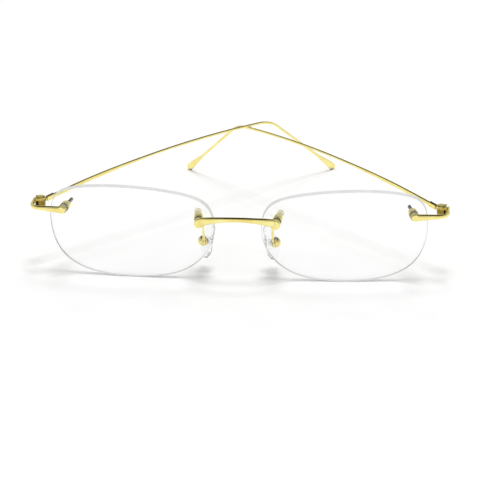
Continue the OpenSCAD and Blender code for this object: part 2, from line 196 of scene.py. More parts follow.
def stand(side):
    """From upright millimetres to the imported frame."""
    axes = Matrix((ACROSS * side, BACK, UP)).transposed().to_4x4()
    return Matrix.Translation(ORIGIN) @ axes @ Matrix.Scale(MM, 4)


LENS_FRAME = shift(LENS_X, 0, 0) @ turn("Z", LENS_WRAP)


def hole_frame(p):
    """Origin on the lens's front face at a hole, and +Y back along the post."""
    tilt = degrees(asin(p.y / LENS_R))
    swing = degrees(asin(p.x / LENS_R / cos(radians(tilt))))
    facing = turn("Z", swing) @ turn("X", -tilt)
    return LENS_FRAME @ shift(0, LENS_R, 0) @ facing @ shift(0, -LENS_R, 0)


def on_lens(p):
    """The point on the lens's front face in front of a hole."""
    sag = LENS_R - sqrt(LENS_R**2 - p.length_squared)
    return LENS_FRAME @ Vector((p.x, sag, p.y))


def folded(side):
    """Origin on the hinge, +X out along the temple."""
    return shift(*HINGE) @ turn("Z", 180 - FOLD[side])


PAD_FRAME = shift(*PAD_BOX_AT) @ turn("Z", 180 - PAD_SPLAY) @ turn("Y", PAD_LEAN)


def mix(a, b, share):
    """a at share 0, and b at share 1."""
    return a + (b - a) * share


def smooth_step(x, low, high):
    """0 below low, 1 above high, and smooth between them."""
    t = min(1.0, max(0.0, (x - low) / (high - low)))
    return t * t * (3 - 2 * t)


# ---- Materials ----


class Nodes:
    """Short calls that build one material's node tree."""

    def __init__(self, name):
        self.material = bpy.data.materials.new(name)
        self.material.use_nodes = True
        self.tree = self.material.node_tree
        self.shader = self.tree.nodes["Principled BSDF"]
        self.place = self.add("ShaderNodeTexCoord").outputs["Object"]

    def add(self, kind):
        return self.tree.nodes.new(kind)

    def link(self, output, socket):
        self.tree.links.new(output, socket)

    def set(self, **values):
        """Sets the shader's sockets; an underscore in a name stands for a space."""
        for key, value in values.items():
            self.shader.inputs[key.replace("_", " ")].default_value = value

    def noise(self, scale, detail=3.0, stretch=(1, 1, 1)):
        mapping = self.add("ShaderNodeMapping")
        mapping.inputs["Scale"].default_value = stretch
        self.link(self.place, mapping.inputs["Vector"])
        node = self.add("ShaderNodeTexNoise")
        node.inputs["Scale"].default_value = scale
        node.inputs["Detail"].default_value = detail
        self.link(mapping.outputs["Vector"], node.inputs["Vector"])
        return node.outputs["Fac"]

    def colour(self, value, low, high):
        """Base colour that runs from low to high with a noise value."""
        node = self.add("ShaderNodeValToRGB")
        for element, position, rgb in zip(node.color_ramp.elements, (0.3, 0.7), (low, high)):
            element.position = position
            element.color = (*rgb, 1)
        self.link(value, node.inputs["Fac"])
        self.link(node.outputs["Color"], self.shader.inputs["Base Color"])
        return node.outputs["Color"]

    def blend(self, value, low, high, dark, colour):
        """Base colour that is dark where a value is below low, and a colour above high."""
        share = self.add("ShaderNodeMapRange")
        share.inputs["From Min"].default_value = low
        share.inputs["From Max"].default_value = high
        self.link(value, share.inputs["Value"])
        node = self.add("ShaderNodeMix")
        node.data_type = "RGBA"
        tones = [socket for socket in node.inputs if socket.type == "RGBA"]
        tones[0].default_value = (*dark, 1)
        self.link(share.outputs["Result"], node.inputs[0])
        self.link(colour, tones[1])
        mixed = [socket for socket in node.outputs if socket.type == "RGBA"]
        self.link(mixed[0], self.shader.inputs["Base Color"])
        return mixed[0]

    def painted_crevice_shade(self, colour, dark, reach):
        """Painted shade: darkens the base colour by ambient occlusion in crevices narrower than a reach in metres.
        """
        occlusion = self.add("ShaderNodeAmbientOcclusion")
        occlusion.samples = 8
        occlusion.inputs["Distance"].default_value = reach
        self.blend(occlusion.outputs["AO"], 0.25, 0.75, dark, colour)

    def shade_near(self, colour, dark, points, low, high):
        """Painted shade: base colour that is dark within low of either of two points, in metres."""
        nearest = self.add("ShaderNodeMath")
        nearest.operation = "MINIMUM"
        for point, socket in zip(points, nearest.inputs):
            away = self.add("ShaderNodeVectorMath")
            away.operation = "DISTANCE"
            self.link(self.place, away.inputs[0])
            away.inputs[1].default_value = point
            self.link(away.outputs["Value"], socket)
        return self.blend(nearest.outputs["Value"], low, high, dark, colour)

    def roughness(self, value, low, high):
        node = self.add("ShaderNodeMapRange")
        node.inputs["From Min"].default_value = 0.3
        node.inputs["From Max"].default_value = 0.7
        node.inputs["To Min"].default_value = low
        node.inputs["To Max"].default_value = high
        self.link(value, node.inputs["Value"])
        self.link(node.outputs["Result"], self.shader.inputs["Roughness"])

    def bump(self, value, distance, strength):
        node = self.add("ShaderNodeBump")
        node.inputs["Strength"].default_value = strength
        node.inputs["Distance"].default_value = distance
        self.link(value, node.inputs["Height"])
        self.link(node.outputs["Normal"], self.shader.inputs["Normal"])


GOLD = ((0.88, 0.73, 0.21), (0.98, 0.88, 0.38))
# Painted shade: a brown for the shaded inside of a hinge, as seen reflected in the knuckles
HINGE_PAINTED_SHADE = (0.28, 0.19, 0.03)
# Where the painted shade round a hinge's axis starts to fade, and where it ends
HINGE_SHADE_R = (1.6, 2.3)
# Painted shade for the gold's crevices: its dark colour, and how far the occlusion looks, in millimetres
CREVICE_SHADE_COLOUR = (0.16, 0.10, 0.01)
CREVICE_SHADE_REACH = 2


def gold_material(name, low, high, shade_points=()):
    """Polished yellow gold plate: uneven colour, polishing marks, and painted shade in its crevices.

    It has painted shade round some points: a brown for the dark inside of a hinge that it reflects.
    """
    n = Nodes(name)
    n.set(Metallic=1.0)
    plate = n.colour(n.noise(260, detail=4), low, high)
    if shade_points:
        plate = n.shade_near(plate, HINGE_PAINTED_SHADE, shade_points, *(r * MM for r in HINGE_SHADE_R))
    # Painted shade in the crevices, from ambient occlusion
    n.painted_crevice_shade(plate, CREVICE_SHADE_COLOUR, CREVICE_SHADE_REACH * MM)
    n.roughness(n.noise(2600, detail=5, stretch=(1, 1, 5)), 0.06, 0.14)
    n.bump(n.noise(700, detail=4), 0.00002, 0.2)
    return n.material


def dark_metal_material():
    """Grey threaded rod, with dull patches in its grooves."""
    n = Nodes("threaded_steel")
    n.set(Metallic=1.0)
    patches = n.noise(900, detail=4)
    n.colour(patches, (0.22, 0.21, 0.18), (0.48, 0.45, 0.38))
    n.roughness(patches, 0.25, 0.42)
    n.bump(n.noise(5200, detail=2), 0.00002, 0.4)
    return n.material


def lens_material():
    """Clear polished lens, with a faint unevenness in its coating."""
    n = Nodes("clear_lens")
    n.set(Transmission_Weight=1.0, IOR=1.5)
    n.colour(n.noise(30, detail=2), (0.985, 0.992, 0.990), (0.995, 0.998, 0.997))
    n.roughness(n.noise(1500), 0.0, 0.01)
    return n.material


def lens_edge_material():
    """The lens's ground edge: a pale satin band that lets some light through."""
    n = Nodes("lens_edge")
    n.set(Transmission_Weight=0.15, IOR=1.4)
    haze = n.noise(1800, detail=4)
    n.colour(haze, (0.70, 0.71, 0.71), (0.84, 0.85, 0.85))
    n.roughness(haze, 0.30, 0.45)
    return n.material


def clear_plastic_material(name, transmission, ior, low, high):
    """Small clear moulded parts, with a slight haze."""
    n = Nodes(name)
    n.set(Transmission_Weight=transmission, IOR=ior)
    haze = n.noise(1400, detail=3)
    n.colour(haze, low, high)
    n.roughness(haze, 0.16, 0.32)
    return n.material


def silicone_material():
    """Soft clear silicone: a faint milky haze and a satin skin."""
    n = Nodes("clear_silicone")
    n.set(Transmission_Weight=0.97, IOR=1.22)
    haze = n.noise(420, detail=4)
    n.colour(haze, (0.95, 0.965, 0.955), (0.99, 0.995, 0.99))
    n.roughness(haze, 0.03, 0.10)
    n.bump(n.noise(2400, detail=3), 0.00001, 0.3)
    return n.material


def nylon_material():
    """White nylon hinge washers."""
    n = Nodes("white_nylon")
    fleck = n.noise(1600, detail=4)
    n.colour(fleck, (0.80, 0.78, 0.72), (0.90, 0.89, 0.84))
    n.roughness(fleck, 0.35, 0.5)
    return n.material


MATERIALS = {
    "gold_metal": gold_material("polished_gold", *GOLD),
    "dark_metal": dark_metal_material(),
    "lens": lens_material(),
    "clear_plastic": clear_plastic_material(
        "clear_plastic", 0.6, 1.3, (0.86, 0.82, 0.52), (0.94, 0.91, 0.68)
    ),
    "silicone": silicone_material(),
    "nylon": nylon_material(),
}
LENS_EDGE = lens_edge_material()
# A darker copy of the gold: painted shade on the hinge leaves
HINGE_GOLD_SHADED = gold_material("hinge_gold_painted_shade", (0.28, 0.18, 0.02), (0.76, 0.59, 0.14))
# Gold with painted shade round both hinges' axes
KNUCKLE_GOLD_SHADED = gold_material(
    "knuckle_gold_painted_shade", *GOLD, [joint_of[f"temple_{side}"]["pos_m"] for side in SIDES.values()]
)
PAD_INSERT = clear_plastic_material(
    "pad_insert", 0.97, 1.22, (0.95, 0.96, 0.95), (0.99, 0.99, 0.99)
)

# Every CAD node takes its slot's material, except two: the hinges get gold with painted shade, and the insert is
# as clear as the pad round it. The leaves, knuckles, hinge washers and inserts stay in view.
SPECIAL = {"hinge_leaf": HINGE_GOLD_SHADED, "temple_knuckle": KNUCKLE_GOLD_SHADED, "pad_insert": PAD_INSERT}
for part in frame["record"]["subparts"]:
    slots = frame["nodes"][part["node"]].data.materials
    slots.clear()
    kind = part["node"].rsplit("_", 1)[0]
    slots.append(SPECIAL.get(kind, MATERIALS[part["material_slot"]]))

# ---- Mesh tools, in upright millimetres ----


def skin(bm, rings, closed=False):
    """Quads between rings of points. Open rows get a fan over each end."""
    made = [[bm.verts.new(p) for p in ring] for ring in rings]
    count = len(rings[0])
    pairs = list(zip(made, made[1:]))
    if closed:
        pairs.append((made[-1], made[0]))
    faces = []
    for lower, upper in pairs:
        for i in range(count):
            k = (i + 1) % count
            faces.append(bm.faces.new((lower[i], lower[k], upper[k], upper[i])))
    if closed:
        return faces
    for ring in (made[0], made[-1]):
        middle = bm.verts.new(sum((v.co for v in ring), Vector()) / count)
        for i in range(count):
            bm.faces.new((ring[i], ring[(i + 1) % count], middle))
    return faces


def finished(bm):
    """The bmesh as a mesh, with its normals outwards."""
    bmesh.ops.recalc_face_normals(bm, faces=bm.faces)
    mesh = bpy.data.meshes.new("piece")
    bm.to_mesh(mesh)
    bm.free()
    return mesh


def eased(points, radius, closed=False):
    """(r, y) points with a small round at each corner."""
    out = []
    count = len(points)
    for i, (r, y) in enumerate(points):
        here = Vector((r, y))
        if not closed and i in (0, count - 1):
            out.append(here)
            continue
        before, after = Vector(points[i - 1]), Vector(points[(i + 1) % count])
        way_in, way_out = (before - here), (after - here)
        start = here + way_in.normalized() * min(radius, way_in.length * 0.45)
        end = here + way_out.normalized() * min(radius, way_out.length * 0.45)
        for t in (0, 0.33, 0.67, 1):
            out.append(start.lerp(here, t).lerp(here.lerp(end, t), t))
    return out


def circle(radius, y, segments):
    """A ring of points round +Y."""
    ring = []
    for i in range(segments):
        a = 2 * pi * i / segments
        ring.append(Vector((radius * cos(a), y, radius * sin(a))))
    return ring


def crown(radius, y, ease, rise, steps=6):
    """(r, y) points of a quarter round: in from the radius by ease, and on to y by rise."""
    points = []
    for step in range(1, steps + 1):
        a = pi / 2 * step / steps
        points.append((radius - ease * (1 - cos(a)), y - rise * (1 - sin(a))))
    return points


def turned(profile, segments=40, closed=False):
    """A part turned round +Y from (radius, y) points."""
    bm = bmesh.new()
    skin(bm, [circle(r, y, segments) for r, y in profile], closed)
    return finished(bm)


def solid_rod(radius, y0, y1, ease=0.12):
    """A rod along +Y with eased rims."""
    inside = radius * 0.3
    return turned(eased([(inside, y0), (radius, y0), (radius, y1), (inside, y1)], ease))


def ring_tube(outer, inner, y0, y1, ease=0.06):
    """A ring round +Y with eased rims."""
    corners = [(inner, y0), (outer, y0), (outer, y1), (inner, y1)]
    return turned(eased(corners, ease, closed=True), closed=True)


def block(low, high):
    """A box between two corners, as a cutter."""
    bm = bmesh.new()
    bmesh.ops.create_cube(bm, size=1)
    middle = (Vector(low) + Vector(high)) / 2
    size = Vector(high) - Vector(low)
    for v in bm.verts:
        v.co = Vector(a * b for a, b in zip(v.co, size)) + middle
    return finished(bm)


def carved(mesh, cutters):
    """The mesh with closed cutter meshes taken out of it."""
    scene = bpy.context.scene.collection
    target = bpy.data.objects.new("target", mesh)
    scene.objects.link(target)
    tools = []
    for cutter in cutters:
        tool = bpy.data.objects.new("tool", cutter)
        scene.objects.link(tool)
        tools.append(tool)
        cut = target.modifiers.new("cut", "BOOLEAN")
        cut.operation = "DIFFERENCE"
        cut.solver = "EXACT"
        cut.object = tool
    graph = bpy.context.evaluated_depsgraph_get()
    result = bpy.data.meshes.new_from_object(target.evaluated_get(graph))
    for thing in (target, *tools):
        bpy.data.objects.remove(thing)
    return result


def section(centre, high, thick, half_h, half_t, power, sides):
    """A superellipse round a point on a bar."""
    ring = []
    for i in range(sides):
        a = 2 * pi * (i + 0.5) / sides
        c, s = cos(a), sin(a)
        across = abs(c) ** (2 / power) * (1 if c > 0 else -1)
        along = abs(s) ** (2 / power) * (1 if s > 0 else -1)
        ring.append(centre + high * (half_h * along) + thick * (half_t * across))
    return ring


def swept(stations, sides=28):
    """A bar through (centre, height axis, thickness axis, half height, half thickness, power)."""
    bm = bmesh.new()
    skin(bm, [section(*station, sides) for station in stations])
    return finished(bm)


def round_end(distance, radius):
    """Half width of a round end, at a distance in from its tip."""
    inside = min(distance, radius)
    return sqrt(max(0.0, radius**2 - (radius - inside) ** 2))


def joined(parts):
    """One mesh from (mesh, matrix) parts."""
    bm = bmesh.new()
    for mesh, matrix in parts:
        copy = mesh.copy()
        copy.transform(matrix)
        bm.from_mesh(copy)
    return finished(bm)


def without(mesh, index):
    """A copy of the mesh less the faces of one material."""
    bm = bmesh.new()
    bm.from_mesh(mesh)
    gone = [face for face in bm.faces if face.material_index == index]
    bmesh.ops.delete(bm, geom=gone, context="FACES")
    copy = mesh.copy()
    bm.to_mesh(copy)
    bm.free()
    return copy


def add_piece(name, mesh, side, body, slot, sharp=35, stands_in=True):
    """Stands a mesh on the frame, and has it stand in for the CAD node of that name."""
    label = f"{name}_{SIDES[side]}" if side else name
    mesh.transform(stand(side or LEFT))
    if side == RIGHT:
        mesh.flip_normals()
    if not mesh.materials:
        mesh.materials.append(MATERIALS[slot])
    mesh.shade_smooth()
    mesh.set_sharp_from_angle(angle=radians(sharp))
    piece = bpy.data.objects.new(f"{label}_look", mesh)
    bpy.context.scene.collection.objects.link(piece)
    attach(piece, body if body == "front" else f"{body}_{SIDES[side]}")
    if stands_in:
        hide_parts(label)
    return piece


# ---- Lenses and their fittings ----


def lens_outline(steps=16):
    """The closed cubic spline round the lens."""
    cage = [Vector((x * LENS_W / CAGE_W, y * LENS_H / CAGE_H)) for x, y in LENS_CAGE]
    count = len(cage)
    outline = []
    for i in range(count):
        a, b, c, d = (cage[(i + k) % count] for k in range(4))
        for step in range(steps):
            t = step / steps
            outline.append((
                a * (1 - t) ** 3
                + b * (3 * t**3 - 6 * t**2 + 4)
                + c * (-3 * t**3 + 3 * t**2 + 3 * t + 1)
                + d * t**3
            ) / 6)
    return outline


FACE, EDGE = 0, 1


def lens_mesh():
    """Two concentric curved faces, a fine bevel at both rims, and the drilled holes."""
    outline = lens_outline()
    rings_per_face = 16

    def ring(share, radius, depth, inset=0.0):
        points = []
        for p in outline:
            q = p * share * (1 - inset / p.length)
            sag = radius - sqrt(radius**2 - q.length_squared)
            points.append(LENS_FRAME @ Vector((q.x, depth + sag, q.y)))
        return points

    shares = [i / rings_per_face for i in range(1, rings_per_face)]
    back_r = LENS_R - LENS_T
    rings = [ring(s, LENS_R, 0) for s in shares]
    rings.append(ring(1, LENS_R, 0, LENS_BEVEL))
    rings.append(ring(1, LENS_R, LENS_BEVEL))
    rings.append(ring(1, back_r, LENS_T - LENS_BEVEL))
    rings.append(ring(1, back_r, LENS_T, LENS_BEVEL))
    rings += [ring(s, back_r, LENS_T) for s in reversed(shares)]
    bm = bmesh.new()
    faces = skin(bm, rings)
    count = len(outline)
    for face in faces[(rings_per_face - 1) * count:(rings_per_face + 2) * count]:
        face.material_index = EDGE
    mesh = finished(bm)
    mesh.materials.append(MATERIALS["lens"])
    mesh.materials.append(LENS_EDGE)
    drills = []
    for p in HOLES:
        drill = solid_rod(SLEEVE_D / 2, -LENS_T, 2 * LENS_T, ease=0)
        drill.transform(hole_frame(p))
        drills.append(drill)
    return carved(mesh, drills)


def sleeve_mesh():
    """The two tubes that line a lens's holes."""
    tube = ring_tube(SLEEVE_D / 2 - AIR, POST_D / 2 + AIR, AIR, LENS_T - AIR, ease=0.03)
    return joined([(tube, hole_frame(p)) for p in HOLES])


def washer_mesh():
    """A washer in front of the lens and one behind it, at both holes."""
    outer, bore = NUT_D / 2, POST_D / 2 + AIR
    front = ring_tube(outer, bore, -WASHER_T, -AIR, ease=0.08)
    rear = ring_tube(outer, bore, LENS_T + AIR, LENS_T + WASHER_T, ease=0.08)
    return joined([(mesh, hole_frame(p)) for p in HOLES for mesh in (front, rear)])


def post_mesh(p, post_len, bright_to):
    """A post with a rolled thread behind the lens and an eased tip, gold up to a depth."""
    pitch = 0.32
    depth = 0.07
    tip_r = 0.25
    tip_share = 0.75
    segments = 24
    steps = 200
    radius = POST_D / 2
    rings = [circle(radius - depth, -WASHER_T, segments)]
    for step in range(steps + 1):
        y = LENS_T + (post_len - LENS_T) * step / steps
        tip = round_end(post_len - y, tip_r) / tip_r
        ring = []
        for i in range(segments):
            turn_share = i / segments
            phase = (y / pitch + turn_share) % 1
            r = radius - depth * abs(2 * phase - 1)
            r *= mix(tip_share, 1, tip)
            a = 2 * pi * turn_share
            ring.append(Vector((r * cos(a), y, r * sin(a))))
        rings.append(ring)
    bm = bmesh.new()
    for face in skin(bm, rings):
        if face.calc_center_median().y < bright_to:
            face.material_index = 1
    mesh = finished(bm)
    mesh.transform(hole_frame(p))
    mesh.materials.append(MATERIALS["dark_metal"])
    mesh.materials.append(MATERIALS["gold_metal"])
    return mesh


def nut_mesh():
    """Both round nuts, each with two flats and a groove round its foot."""
    r = NUT_D / 2
    bore = POST_D / 2
    neck = r - NUT_GROOVE
    foot, groove_from, groove_to, head = 0.35, 0.45, 0.7, 0.8
    profile = [
        (bore, 0), (r, 0), (r, foot), (neck, groove_from), (neck, groove_to), (r, head),
        (r, NUT_H), (bore, NUT_H)
    ]
    nut = turned(eased(profile, 0.1, closed=True), 48, closed=True)
    flat = NUT_FLATS * NUT_D / 2
    for v in nut.vertices:
        v.co.z = max(-flat, min(flat, v.co.z))
    return joined([
        (nut, hole_frame(NOSE_HOLE) @ shift(0, NOSE_NUT_Y, 0)),
        (nut, hole_frame(TEMPLE_HOLE) @ shift(0, TEMPLE_NUT_Y, 0)),
    ])


def lock_ring_mesh():
    """The thin ring behind the temple-side nut."""
    y = TEMPLE_NUT_Y + NUT_H
    ring = ring_tube(LOCK_RING_D / 2, POST_D / 2, y, y + LOCK_RING_H, ease=0.16)
    ring.transform(hole_frame(TEMPLE_HOLE))
    return ring


def cap_mesh():
    """A domed clear cap, hollow over the end of the post."""
    y = NOSE_NUT_Y + NUT_H
    r = CAP_D / 2
    bore = POST_D / 2 + AIR
    lip = 0.1
    axis_r = 0.03
    outer = [(bore, y), (r - lip, y), (r, y + lip), (r, CAP_SHOULDER)]
    for step in range(1, 9):
        a = pi / 2 * step / 8
        outer.append((max(axis_r, r * cos(a)), CAP_SHOULDER + CAP_DOME * sin(a)))
    inner = [(axis_r, NOSE_POST_LEN + AIR), (bore, NOSE_POST_LEN + AIR), (bore, y + lip)]
    mesh = turned(outer + inner, 40, closed=True)
    mesh.transform(hole_frame(NOSE_HOLE))
    return mesh


# ---- Bridge and endpieces ----


def bar_disc(diameter, thickness):
    """The bar's round end over a post: a flat face with an eased rim."""
    r = diameter / 2
    inside = 0.2
    ease, rise = 0.3, 0.22
    front = -WASHER_T - thickness
    profile = [(inside, -WASHER_T), (r, -WASHER_T), (r, front + rise)]
    profile += crown(r, front, ease, -rise)
    profile.append((inside, front))
    return turned(profile, 48)


def bridge_mesh():
    """An arched bar that widens to its round ends and bows forward over the nose."""
    end = on_lens(NOSE_HOLE)
    centre_y = end.y - WASHER_T + sqrt(BRIDGE_BOW_R**2 - end.x**2)
    mid_r = BRIDGE_BOW_R + BRIDGE_T / 2
    half_t = BRIDGE_T / 2
    inside_disc = 0.7
    reach = end.x - inside_disc
    bottom = BRIDGE_TOP - BRIDGE_MIDDLE_H
    stations = []
    steps = 60
    for step in range(steps + 1):
        x = reach * (2 * step / steps - 1)
        upper = BRIDGE_TOP - BRIDGE_TOP_R + sqrt(BRIDGE_TOP_R**2 - x**2)
        lower = bottom - BRIDGE_BOTTOM_R + sqrt(BRIDGE_BOTTOM_R**2 - x**2)
        out = asin(x / BRIDGE_BOW_R)
        thick = Vector((sin(out), -cos(out), 0))
        centre = Vector((mid_r * sin(out), centre_y - mid_r * cos(out), (upper + lower) / 2))
        stations.append((centre, UPRIGHT, thick, (upper - lower) / 2, half_t, BAR_POWER))
    bar = swept(stations, 36)
    disc = bar_disc(BRIDGE_DISC_D, BRIDGE_T)
    mirror = Matrix.Scale(-1, 4, (1, 0, 0))
    hole = hole_frame(NOSE_HOLE)
    return joined([(bar, Matrix()), (disc, hole), (disc, mirror @ hole)])


def endpiece_mesh():
    """A bar from the post out along the lens, round a corner and back to the hinge."""
    end = on_lens(TEMPLE_HOLE)
    start_y = end.y - WASHER_T - END_T / 2
    line_x = HINGE.x + LEAF_BACK_X + END_T / 2 - end.x
    tail_y = HINGE.y + LEAF_END_Y - start_y
    angle = radians(END_SPLAY)
    along = Vector((cos(angle), sin(angle)))
    inside_disc = 0.5
    reach = line_x / cos(angle) - END_CORNER_R * tan((pi / 2 - angle) / 2)
    centre = along * reach + Vector((-sin(angle), cos(angle))) * END_CORNER_R
    bar_steps, corner_steps, tail_steps = 13, 16, 24
    path = []
    for step in range(bar_steps):
        path.append((along * mix(inside_disc, reach, step / bar_steps), angle))
    for step in range(corner_steps + 1):
        a = mix(angle, pi / 2, step / corner_steps)
        path.append((centre + Vector((sin(a), -cos(a))) * END_CORNER_R, a))
    last = path[-1][0].y
    for step in range(1, tail_steps + 1):
        y = mix(last, tail_y, sin(pi / 2 * step / tail_steps))
        path.append((Vector((line_x, y)), pi / 2))
    stations = []
    for point, a in path:
        half_h = mix(END_ROOT_H, END_TAIL_H, min(1.0, point.x / END_TAPER)) / 2
        left = max(tail_y - point.y, 0.0) if a == pi / 2 else END_EASE
        eased_by = END_EASE - round_end(left, END_EASE)
        thick = Vector((sin(a), -cos(a), 0))
        stations.append((
            point.to_3d(), UPRIGHT, thick, half_h - eased_by, END_T / 2 - eased_by, BAR_POWER
        ))
    place = shift(end.x, start_y, end.z) @ turn("X", -END_SLOPE)
    disc = bar_disc(END_DISC_D, END_T)
    return joined([(swept(stations, 36), place), (disc, hole_frame(TEMPLE_HOLE))])


# ---- Hinges ----


def hinge_screw_mesh():
    """A pin with a low crowned head and a driver slot."""
    r = KNUCKLE_D / 2
    inside = 0.2
    ease, rise = 0.5, 0.16
    top = SCREW_TOP + SCREW_HEAD_H
    profile = [(inside, -SCREW_TOP), (SCREW_PIN_R, -SCREW_TOP), (SCREW_PIN_R, SCREW_TOP)]
    profile += [(r, SCREW_TOP), (r, top - rise)]
    profile += crown(r, top, ease, rise)
    profile.append((inside, top))
    screw = turned(profile, 48)
    screw.transform(turn("X", 90))
    half = SCREW_SLOT / 2
    slot = block((-KNUCKLE_D, -half, top - SCREW_SLOT_DEPTH), (KNUCKLE_D, half, top + 1))
    screw = carved(screw, [slot])
    screw.transform(shift(*HINGE))
    return screw


# ---- Temples ----


def temple_mesh(side):
    """One drawn wire: a flat blade that tapers to round wire, an ear bend and a flat paddle."""
    slope = -RISE[side]
    point = Vector((LEAF_LEN * cos(radians(slope)), 0, -LEAF_LEN * sin(radians(slope))))
    line = [(point.copy(), slope)]

    def bend(radius, angle, steps):
        nonlocal point, slope
        step = angle / steps
        chord = 2 * radius * sin(radians(step / 2))
        for _ in range(steps):
            mid = radians(slope + step / 2)
            point = point + Vector((cos(mid), 0, -sin(mid))) * chord
            slope += step
            line.append((point.copy(), slope))

    shaft = SHAFT_LEN - EAR_BEND_R * tan(radians(EAR_BEND / 2)) - LEAF_LEN
    bend(ARCH_R[side], degrees(shaft / ARCH_R[side]), 80)
    bend(EAR_BEND_R, EAR_BEND, 20)
    way = Vector((cos(radians(slope)), 0, -sin(radians(slope))))
    to_world = stand(side) @ folded(side)
    flat_z = abs((to_world.to_3x3() @ Vector((0, 1, 0))).normalized().z)
    lowest = (PADDLE_W * sqrt(1 - flat_z**2) + PADDLE_T * flat_z) / 2 * MM
    fall = -(to_world.to_3x3() @ way).z
    tip = ((to_world @ point).z - lowest) / fall + PADDLE_W / 2
    straight = tip - PADDLE_LEN
    straight_steps, paddle_steps = 8, 36
    for i in range(1, straight_steps + 1):
        line.append((point + way * (straight * i / straight_steps), slope))
    start = point + way * straight
    for i in range(1, paddle_steps + 1):
        line.append((start + way * (PADDLE_LEN * sin(pi / 2 * i / paddle_steps)), slope))

    lengths = [0.0]
    for (a, _), (b, _) in zip(line, line[1:]):
        lengths.append(lengths[-1] + (b - a).length)
    stations = []
    flat = Vector((0, 1, 0))
    tip_half_h, tip_half_t = 0.05, 0.04
    for (centre, angle), length in zip(line, lengths):
        high = Vector((sin(radians(angle)), 0, cos(radians(angle))))
        left = lengths[-1] - length
        blade = 1 - smooth_step(length, BLADE_LEN * BLADE_FULL, BLADE_LEN)
        paddle = smooth_step(PADDLE_LEN - left, 0.0, PADDLE_LEN - PADDLE_W / 2)
        half_h = mix(mix(WIRE_D, BLADE_H, blade), PADDLE_W, paddle) / 2
        half_t = mix(mix(WIRE_D, BLADE_T, blade), PADDLE_T, paddle) / 2
        half_h = min(half_h, max(tip_half_h, round_end(left, PADDLE_W / 2)))
        half_t = min(half_t, max(tip_half_t, round_end(left, PADDLE_T / 2)))
        power = mix(ROUND_POWER, FLAT_POWER, max(blade, paddle))
        stations.append((centre, high, flat, half_h, half_t, power))
    mesh = swept(stations, 24)
    mesh.transform(folded(side))
    return mesh


# ---- Nose pads ----


def arm_mesh():
    """The eyelet on the nose-side post and the bent wire under it."""
    eyelet_y = LENS_T + WASHER_T
    eyelet = ring_tube(NUT_D / 2, POST_D / 2, eyelet_y, eyelet_y + EYELET_T, ease=0.16)
    inside_eyelet = 0.6
    point = ARM_START.copy()
    point.z += inside_eyelet
    slope = 0.0
    line = [(point.copy(), slope)]
    curve = ARM_BEND_R * radians(ARM_BEND)
    runs = ((inside_eyelet + ARM_DROP, 0, 6), (curve, ARM_BEND, 16), (ARM_TAIL, 0, 3))
    for length, angle, steps in runs:
        for _ in range(steps):
            mid = radians(slope + angle / steps / 2)
            point = point + Vector((0, sin(mid), -cos(mid))) * (length / steps)
            slope += angle / steps
            line.append((point.copy(), slope))
    stations = []
    r = ARM_D / 2
    for centre, angle in line:
        a = radians(angle)
        stations.append((centre, Vector((0, cos(a), sin(a))), ACROSS, r, r, ROUND_POWER))
    return joined([(eyelet, hole_frame(NOSE_HOLE)), (swept(stations, 20), Matrix())])


def pad_box_mesh():
    """A ball-like box with flattened ends, slotted for the pad's tongue."""
    profile = []
    steps = 24
    side_power, end_power = 0.7, 0.8
    for step in range(1, steps):
        a = pi * (step / steps - 0.5)
        y = PAD_BOX_HALF * abs(sin(a)) ** end_power * (1 if a > 0 else -1)
        profile.append((PAD_BOX_R * cos(a) ** side_power, y))
    body = turned(profile, 48)
    past = 3 * PAD_BOX_R
    slot = block((-PAD_SLOT_DEPTH, -PAD_SLOT_HALF, -past), (past, PAD_SLOT_HALF, past))
    mesh = carved(body, [slot])
    mesh.transform(PAD_FRAME)
    return mesh


def pad_screw_mesh():
    """The screw across the pad box, with a rounded, slotted head."""
    y0, y1 = -PAD_BOX_HALF, PAD_BOX_HALF
    inside = 0.1
    profile = [(inside, y0), (PAD_PIN_R, y0), (PAD_PIN_R, y1), (PAD_SCREW_R, y1)]
    profile.append((PAD_SCREW_R, y1 + PAD_SCREW_H * 0.5))
    profile.append((PAD_SCREW_R * 0.7, y1 + PAD_SCREW_H * 0.9))
    profile.append((inside, y1 + PAD_SCREW_H))
    screw = turned(eased(profile, 0.08), 32)
    half = PAD_SCREW_SLOT / 2
    past = 2 * PAD_SCREW_R
    slot = block((-half, y1 + PAD_SCREW_H / 2, -past), (half, y1 + past, past))
    mesh = carved(screw, [slot])
    mesh.transform(PAD_FRAME)
    return mesh


def pad_outline():
    """The pad's outline as (along, across), with its narrower end at the top."""
    top_r = PAD_NARROW * PAD_W / 2
    bottom_r = PAD_W / 2
    side = asin((bottom_r - top_r) / (PAD_LEN - top_r - bottom_r))
    steps = 40
    outline = []
    for i in range(steps + 1):
        a = pi / 2 - side + (pi + 2 * side) * i / steps
        outline.append(Vector((bottom_r - PAD_LEN / 2 + bottom_r * cos(a), bottom_r * sin(a))))
    for i in range(steps + 1):
        a = -pi / 2 + side + (pi - 2 * side) * i / steps
        outline.append(Vector((PAD_LEN / 2 - top_r + top_r * cos(a), top_r * sin(a))))
    return outline


